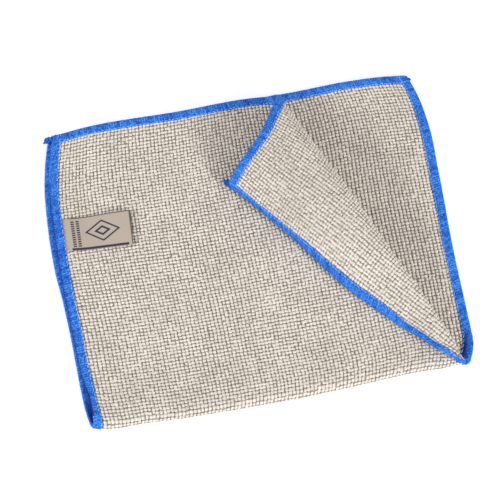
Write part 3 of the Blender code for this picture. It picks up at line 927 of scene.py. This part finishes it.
def in_shadow(s, v, inward, height):
    """How dark a stitch's place makes it, from 0 to 1: the sum of four masks, each with its depth.

    They are the left run's rim on the upper layer, its inner face near the fold, the right run's
    inner face below the roll's end, and what the roll turns face down.
    """
    at_left, at_right, inside = s < SIDE, s > CLOTH_WIDTH - SIDE, height < INNER_FACE
    near_fold = eased(np.abs(v), *NEAR_FOLD)
    rim = at_left * (v > RIM_START) * eased(inward, *RIM_INWARD) * eased(v, *RIM_ALONG)
    slit = at_left * inside * eased(inward, *SLIT_INWARD) * near_fold
    nook = at_right * inside * eased(inward, *NOOK_INWARD) * bell(v, NOOK_AT, NOOK_REACH)
    rolled = (under_roll(s, v) > 0.0) * eased(v, *ROLLED_ALONG) * (height > 0.0)
    shadow = rim * (RIM_SHADOW[0] + RIM_SHADOW[1] * near_fold)
    shadow = shadow + SLIT_SHADOW * slit + NOOK_SHADOW * nook + ROLLED_SHADOW * rolled
    return np.clip(shadow, 0.0, 1.0)


def overlock(name, start, end, place, material, seed):
    """One overlocked run, as a ring of thread carried along a cut edge.

    Along the run the stitches are half-round ribs, height sqrt(1 - t*t) across each, which slant a
    little; they wander and differ in size. place(t, inward) gives the flat cloth's s and v.
    """
    random = np.random.default_rng(seed)
    ribs = round(abs(end - start) / RIB_PITCH)
    turns = np.arange(ribs * RIB_STEPS + 1) / RIB_STEPS
    t = start + (end - start) * turns / ribs
    ring = section()
    slant = RIB_SLANT * ring["inward"] / RIB_PITCH * np.where(ring["height"] < 0, -1.0, 1.0)
    phase = turns[:, None] + slant
    whole = np.floor(phase).astype(int)
    across = 2.0 * (phase - whole) - 1.0
    size = 1.0 + random.normal(0.0, RIB_SPREAD, ribs + SPARE_RIBS)
    tone = np.clip(random.normal(RIB_TONE, RIB_TONE_SPREAD, ribs + SPARE_RIBS), 0.0, 1.0)
    rib = np.sqrt(np.clip(1.0 - across * across, 0.0, 1.0)) * size[whole + FIRST_RIB]
    to_end = np.clip(np.minimum(turns, turns[-1] - turns) * RIB_PITCH / END_ROUNDING, 0.0, 1.0)
    closing = END_THICKNESS + (1.0 - END_THICKNESS) * np.sqrt(1.0 - (1.0 - to_end) ** 2)
    wander = RIB_WANDER * np.sin(t / WANDER_LENGTH + seed)[:, None] * (ring["inward"] > INNER_EDGE)
    bulge = RIB_RISE * (rib - RIB_MEAN)
    inward = ring["inward"] + bulge * ring["bulge_in"] + wander
    height = (ring["height"] + bulge * ring["bulge_up"]) * closing[:, None]
    s, v = np.broadcast_arrays(*place(t[:, None], inward))
    shadow = in_shadow(s, v, inward, height)
    raised = LABEL_RISE * over_label(s, v) * eased(inward, *LABEL_RISE_INWARD) * (height > OUTER_FACE)
    rings = SHEET.at(s, v, height + raised)
    # The rib's height paints light on each stitch's bulge and shade between the stitches.
    values = {"height": rib, "tone": tone[whole + FIRST_RIB], "shadow": shadow}
    return mesh_object(name, rings, tube_faces(*rings.shape[:2]), material, values)


NEEDLE_PITCH = 3.4
NEEDLE_LENGTH = 2.5
NEEDLE_THICKNESS = 0.62
NEEDLE_INWARD = 6.9  # in from the cut edge
NEEDLE_HEIGHT = 2.02  # off the middle of the cloth
NEEDLE_SLANT, NEEDLE_SINK = 0.25, 0.12  # of a stitch's ends: inwards and down
NEEDLE_RINGS, NEEDLE_SIDES = 7, 6
NEEDLE_POINT = 0.97  # the last ring's place in a stitch, whose end is at 1
# How much the stitches differ: in place along the run, in stitches; in thickness, as a share; in
# place across it, in mm; and in tone, round its middle.
NEEDLE_SPREADS = (0.08, 0.1, 0.12)
NEEDLE_TONE, NEEDLE_TONE_SPREAD = 0.3, 0.2


def needle_thread(name, start, end, place, material, seed):
    """The needle's stitches along the overlock's inner edge, on both faces: small pointed lozenges.

    Each is a ring of radius sqrt(1 - u*u) carried along its length, from u = -1 to 1.
    """
    random = np.random.default_rng(seed)
    place_spread, size_spread, side_spread = NEEDLE_SPREADS
    count = int(abs(end - start) / NEEDLE_PITCH)
    u = np.linspace(-NEEDLE_POINT, NEEDLE_POINT, NEEDLE_RINGS)[:, None]
    turn = round_turn(NEEDLE_SIDES)
    rings = 0.5 * NEEDLE_THICKNESS * np.sqrt(1.0 - u * u)
    parts = []
    for face in (1, -1):
        steps = np.arange(count) + 0.5 + place_spread * random.normal(size=count)
        for t in start + (end - start) * steps / count:
            radius = rings * (1.0 + size_spread * random.normal())
            beside = NEEDLE_SLANT * u + side_spread * random.normal()
            inward = NEEDLE_INWARD + radius * np.cos(turn) + beside
            s, v = place(t + 0.5 * NEEDLE_LENGTH * u, inward)
            height = NEEDLE_HEIGHT + radius * np.sin(turn) - NEEDLE_SINK * u * u
            parts.append(np.broadcast_arrays(s, v, face * (height + LABEL_RISE * over_label(s, v))))
    s, v, height = np.moveaxis(np.array(parts), 1, 0)
    size = NEEDLE_RINGS * NEEDLE_SIDES
    faces = repeated(tube_faces(NEEDLE_RINGS, NEEDLE_SIDES), size, len(parts))
    faces[count:] = faces[count:, :, ::-1].copy()  # on the inner face the stitches are mirrored
    tone = np.repeat(np.clip(random.normal(NEEDLE_TONE, NEEDLE_TONE_SPREAD, len(parts)), 0, 1), size)
    values = {"height": 0.0 * tone + 1.0, "tone": tone, "shadow": 0.0 * tone}
    return mesh_object(name, SHEET.at(s, v, height), faces.reshape(-1, 3), material, values)


RUN_OVERLAP = 2.5  # the far runs reach this far into the side runs
BETWEEN = EDGING_WIDTH + GAP - RUN_OVERLAP
# The right run's changes of width, as shares of it, and where along the cloth they come and go.
SPREAD, SPREAD_AT, SPREAD_REACH = 0.65, -13.0, 10.0
NARROWING, NARROWS, WIDENS = 0.27, (12.0, 28.0), (85.0, 45.0)


def right_width(t):
    """How much wider the right run is: it spreads below the fold's end and narrows above it."""
    spread = SPREAD * bell(t, SPREAD_AT, SPREAD_REACH)
    return 1.0 + spread - NARROWING * eased(t, *NARROWS) * eased(t, *WIDENS)


RUNS = {  # name: start and end along the run, then its place in the flat cloth
    "left": (FAR_END, NEAR_END, lambda t, inward: (inward, t)),
    "right": (NEAR_END, FAR_END, lambda t, inward: (CLOTH_WIDTH - inward * right_width(t), t)),
    "front_layer": (CLOTH_WIDTH - BETWEEN, BETWEEN, lambda t, inward: (t, FAR_END - inward)),
    "back_layer": (BETWEEN, CLOTH_WIDTH - BETWEEN, lambda t, inward: (t, NEAR_END + inward)),
}


def edging():
    """The four runs of overlock with their needle threads."""
    thread = thread_finish("blue overlock thread", BLUE, BLUE_DARK_AND_SHADED)
    needle = thread_finish("pale needle thread", NEEDLE_BLUE, BLUE)
    pieces = []
    for seed, (name, (start, end, place)) in enumerate(RUNS.items()):
        run = overlock(f"overlock_{name}", start, end, place, thread, OVERLOCK_SEED + seed)
        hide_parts(f"edging_{name}")
        stitches = needle_thread(f"needle_thread_{name}", start, end, place, needle, NEEDLE_SEED + seed)
        for piece in (run, stitches):
            pieces.append(piece)
    return pieces


TAIL_ROOT = 3.0  # how far it starts inside the corner
TAIL_STRANDS = 3
TAIL_STRAND = 0.75  # a strand's radius
TAIL_TWIST = 0.8  # from the chain's middle to a strand's
TAIL_TURNS = 1.3
TAIL_FLATNESS = 0.7  # the twist's height, as a share of its width
TAIL_STAGGER = 0.3  # from one strand's end to the next
TAIL_RINGS, TAIL_SIDES = 22, 8
TAIL_BLUNT, TAIL_THINNING = 0.82, 5.5  # it thins from this share of its length, and how fast
TAIL_THINNEST = 0.2  # the square of its end's thickness, as a share
TAIL_TONE = 0.6


def chain_tail(name, s, v, way, length, size, lift, material):
    """The cut end of the overlock's chain, past a corner: three strands twisted round each other.

    A strand is a ring carried along a helix; way is its direction in the flat cloth, as (s, v),
    and size makes it thicker.
    """
    u = np.linspace(0.0, 1.0, TAIL_RINGS)[:, None]
    turn = round_turn(TAIL_SIDES)
    past = TAIL_THINNING * np.clip(u - TAIL_BLUNT, 0, None)
    thickness = size * TAIL_STRAND * np.sqrt(np.clip(1.0 - past * past, TAIL_THINNEST, 1.0))
    twist = size * TAIL_TWIST
    strands = []
    for strand in range(TAIL_STRANDS):
        about = 2 * math.pi * (strand / TAIL_STRANDS + TAIL_TURNS * u)
        along = (length + TAIL_ROOT) * u - TAIL_ROOT + TAIL_STAGGER * strand
        beside = twist * np.cos(about) + thickness * np.cos(turn)
        height = lift * u + TAIL_FLATNESS * twist * np.sin(about) + thickness * np.sin(turn)
        across = s + way[0] * along - way[1] * beside
        strands.append(SHEET.at(across, v + way[1] * along + way[0] * beside, height))
    count = TAIL_RINGS * TAIL_SIDES
    faces = repeated(tube_faces(TAIL_RINGS, TAIL_SIDES), count, TAIL_STRANDS).reshape(-1, 3)
    tone = np.full(TAIL_STRANDS * count, TAIL_TONE)
    values = {"height": tone, "tone": tone, "shadow": 0.0 * tone}
    return mesh_object(name, strands, faces, material, values)


# ---- the label --------------------------------------------------------------------------------------
LABEL_PLY = 0.5  # the ribbon's own thickness
LABEL_POINTS = (61, 33)  # along it and across it
LABEL_START = -0.05  # how far inside the edging it starts, as a share of its length
LABEL_CAUGHT = 0.1  # its height off the cloth's face there, under the overlock
LABEL_EMERGES = (-0.01, 0.11)  # over these shares of its length it comes out on top
LABEL_SWEEP = 0.56  # how much more its far corner lifts than its near one, as a share
LABEL_RIPPLE = 0.12
LABEL_ROUNDING = 0.8  # from its edge, over which it thins to LABEL_EDGE_PLY of its thickness
LABEL_EDGE_PLY = 0.35

# The label's marks, in mm: x along it from the edging, y across it from its middle. A band is its
# middle, then how far from there it has ended and where it is full.
LINE_Y, LINE_X = (-12.9, 1.15, 0.75), (26.0, 22.0, 21.5)
LOZENGE_X, LOZENGE_Y = (29.0, 12.5), (0.6, 8.2)  # its middle and half its size
LOZENGE_BANDS = ((1.0, 0.11, 0.07), (0.40, 0.14, 0.08))  # in shares of that
TICK_PITCH, TICK_BAND = 1.9, (0.5, 0.36, 0.26)  # the band in shares of the pitch
TICK_ROWS_X, TICK_ROW_BAND, TICKS_Y = 8.6, (1.9, 1.35, 1.1), (0.4, 11.6, 11.2)
# Its painted shadows, along the far side and at the free end, each come between two places.
SHADOWED_SIDE_Y, SHADOWED_SIDE_X = (12.9, 13.4), (4.0, 6.0)
SHADOWED_END_X = (LABEL_LENGTH - 1.2, LABEL_LENGTH - 0.7)


def label_finish():
    """Woven satin: fine crossing threads, painted shadow at its far side and free end, a navy line and a
    plain ornament.
    """
    finish = Finish("woven label", Roughness=0.6, Specular_IOR_Level=0.3)
    x, y = finish.attribute("label_x"), finish.attribute("label_y")
    line = finish.band(y, *LINE_Y) * finish.band(x, *LINE_X)
    sides = ((x, LOZENGE_X), (y, LOZENGE_Y))
    wide, high = (abs(place - middle) / half for place, (middle, half) in sides)
    outer, inner = (finish.band(wide + high, *band) for band in LOZENGE_BANDS)
    ticks = finish.band(y.maths("FRACT", y / TICK_PITCH), *TICK_BAND)
    ticks = ticks * finish.band(abs(x - TICK_ROWS_X), *TICK_ROW_BAND) * finish.band(y, *TICKS_Y)
    mark = highest(line, outer, inner, ticks)
    # Painted shadow along the lifted far side and at the free end.
    side_shadow = finish.step(y, *SHADOWED_SIDE_Y) * finish.step(x, *SHADOWED_SIDE_X)
    edge_shadows = highest(side_shadow, finish.step(x, *SHADOWED_END_X))
    weave = finish.noise(LABEL_THREAD)
    ground_colour = finish.mix(weave, *(shade(LABEL_GROUND, factor) for factor in LABEL_SHADES))
    edge_shaded = finish.mix(edge_shadows * EDGE_SHADOW_COVER, ground_colour, shade(LABEL_EDGE_SHADOW))
    finish.colour(finish.mix(mark * MARK_COVER, edge_shaded, shade(NAVY)))
    finish.bump(weave + 0.6 * mark, 0.12, 0.5)
    return finish.material


def label():
    """The woven label: a ribbon whose one end is caught in the edging and whose other end lifts."""
    columns, rows = LABEL_POINTS
    along, across = np.linspace(LABEL_START, 1.0, columns), np.linspace(-0.5, 0.5, rows)
    reach, width = np.meshgrid(along, across * LABEL_WIDTH)
    slope = math.tan(LABEL_TILT)
    s = EDGING_WIDTH + GAP + (LABEL_LENGTH + slope * width * smooth(4.0 * reach)) * reach
    v = LABEL_MIDDLE + width - slope * LABEL_LENGTH * reach
    lift = LABEL_LIFT * smooth(reach) ** 2 * (1.0 - 0.5 * LABEL_SWEEP + LABEL_SWEEP * width / LABEL_WIDTH)
    ripple = LABEL_RIPPLE * np.sin(reach * 9.0 + width / 6.0) * smooth(3.0 * reach)
    rest = GAP + 0.5 * LABEL_THICKNESS
    height = FACE + LABEL_CAUGHT + (rest - LABEL_CAUGHT) * eased(reach, *LABEL_EMERGES) + lift + ripple
    edge = np.minimum(0.5 * LABEL_WIDTH - np.abs(width), (1.0 - reach) * LABEL_LENGTH)
    rounding = np.sqrt(np.clip(edge / LABEL_ROUNDING, 0.0, 1.0))
    half = 0.5 * LABEL_PLY * (LABEL_EDGE_PLY + (1.0 - LABEL_EDGE_PLY) * rounding)
    values = {
        "label_x": np.tile((reach * LABEL_LENGTH).ravel(), 2),
        "label_y": np.tile(width.ravel(), 2),
    }
    top, bottom = SHEET.at(s, v, height + half), SHEET.at(s, v, height - half)
    piece = closed_sheet("woven_label", top, bottom, label_finish(), values)
    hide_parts("label")
    return piece


# ---- the cloth, put together ------------------------------------------------------------------------
CREST = -0.5 * FOLD_ARC  # the fold's foremost line, along the cloth
FLAP_START, BACK_START = -12.0, -45.0  # the hidden faces' pearls start this far left of the roll
PEARL_FACES = {  # name: which face of the cloth, and which part of it has pearls
    "front": (1, lambda s, v: v > CREST),
    "underside": (1, lambda s, v: v <= CREST),
    "flap": (-1, lambda s, v: (v > CREST) & (under_roll(s, v) > FLAP_START)),
    "back_layer": (-1, lambda s, v: (v <= CREST) & (under_roll(s, v) > BACK_START)),
}
TAILS = {  # name: place (s, v), way, length, size and lift
    "far_left": (0.0, FAR_END - 2.0, (-1, 0), 7.4, 1.8, -0.4),
    "flap": (CLOTH_WIDTH - 3.2, FAR_END, (0, 1), 4.8, 2.0, 0.4),
    "far_right": (CLOTH_WIDTH, NEAR_END + 3.4, (1, 0), 1.0, 1.0, 0.0),
}


def build():
    """Makes every piece; gives back the knit's ground and a list of all that goes with it."""
    knit = knit_finish()
    body = ground(knit)
    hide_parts("cloth")
    faces = [
        pearls(f"pearls_{name}", face, keep, knit, PEARL_SEED + seed)
        for seed, (name, (face, keep)) in enumerate(PEARL_FACES.items())
    ]
    stitched = edging()
    thread = stitched[0].data.materials[0]
    tails = [chain_tail(f"chain_tail_{name}", *values, thread) for name, values in TAILS.items()]
    return body, [*faces, *stitched, *tails, label()]


# ---- the stage --------------------------------------------------------------------------------------
CAMERA_TURN = math.radians(10.754)  # from looking along +Y, to the right
CAMERA_DOWN = math.radians(68.0)
CAMERA_DISTANCE = 1560.0
CAMERA_TARGET = (-3.44, 120.37)  # on the surface, before the origin moves to the box's middle
SENSOR = 36.0
PHOTO_WIDTH, FOCAL_LENGTH = 500.0, 2008.13  # of the photograph, in its pixels
LENS = SENSOR * FOCAL_LENGTH / PHOTO_WIDTH
CLIP = (0.01, 50.0)  # the nearest and the furthest that the camera sees, in metres

WHITE = (1.0, 1.0, 1.0)
WORLD_STRENGTH = 0.64
LIGHT_SIZE = 0.5
LIGHTS = {  # watts, and the place in metres
    "right front light": (27.5, (1.10, -1.40, 0.91)),
    "left light": (24.0, (-1.80, -0.05, 0.88)),
}
FLOOR_REACH, FLOOR_LEVEL = 6.0, -0.00005  # in metres
PAPER_WHITE, PAPER_GLOW = 0.95, 0.2


def light(name, strength, position):
    """A square soft light turned towards the origin."""
    lamp = bpy.data.lights.new(name, "AREA")
    lamp.size = LIGHT_SIZE
    lamp.energy = strength
    place = bpy.data.objects.new(name, lamp)
    x, y, z = position
    place.location = position
    place.rotation_euler = (math.atan2(math.hypot(x, y), z), 0.0, math.atan2(-y, -x) - math.pi / 2)
    bpy.context.scene.collection.objects.link(place)


def paper_floor():
    """A flat square sheet of pale paper with a faint glow, a little below the cloth."""
    paper = Finish("pale paper", Roughness=0.9, Emission_Color=shade(WHITE), Emission_Strength=PAPER_GLOW)
    paper.colour(shade(WHITE, PAPER_WHITE))
    mesh = bpy.data.meshes.new("paper_floor")
    signs = ((-1, -1), (1, -1), (1, 1), (-1, 1))
    corners = [(x * FLOOR_REACH, y * FLOOR_REACH, FLOOR_LEVEL) for x, y in signs]
    mesh.from_pydata(corners, [], [(0, 1, 2, 3)])
    mesh.materials.append(paper.material)
    floor = bpy.data.objects.new("paper_floor", mesh)
    bpy.context.scene.collection.objects.link(floor)
    return floor


def photo_camera():
    """The camera that took the photograph: its place is its target, less the way it looks."""
    lens = bpy.data.cameras.new("camera")
    lens.lens, lens.sensor_width = LENS, SENSOR
    lens.clip_start, lens.clip_end = CLIP
    camera = bpy.data.objects.new("camera", lens)
    level = math.cos(CAMERA_DOWN)
    way = (math.sin(CAMERA_TURN) * level, math.cos(CAMERA_TURN) * level, -math.sin(CAMERA_DOWN))
    target = np.array([*CAMERA_TARGET, 0.0]) - np.array([*BOX_CENTRE, 0.0])
    camera.location = (target - CAMERA_DISTANCE * np.array(way)) * MM
    camera.rotation_euler = (math.pi / 2 - CAMERA_DOWN, 0.0, -CAMERA_TURN)
    return camera


def stage():
    """The camera, the paper floor, an even white world and two soft lights; gives back the floor."""
    scene = bpy.context.scene
    scene.view_settings.view_transform = "Standard"
    scene.camera = photo_camera()
    scene.collection.objects.link(scene.camera)
    floor = paper_floor()
    world = bpy.data.worlds.new("soft studio")
    world.use_nodes = True
    world.node_tree.nodes["Background"].inputs["Color"].default_value = shade(WHITE)
    world.node_tree.nodes["Background"].inputs["Strength"].default_value = WORLD_STRENGTH
    scene.world = world
    for name, (strength, position) in LIGHTS.items():
        light(name, strength, position)
    return floor


floor = stage()
body, trimmings = build()
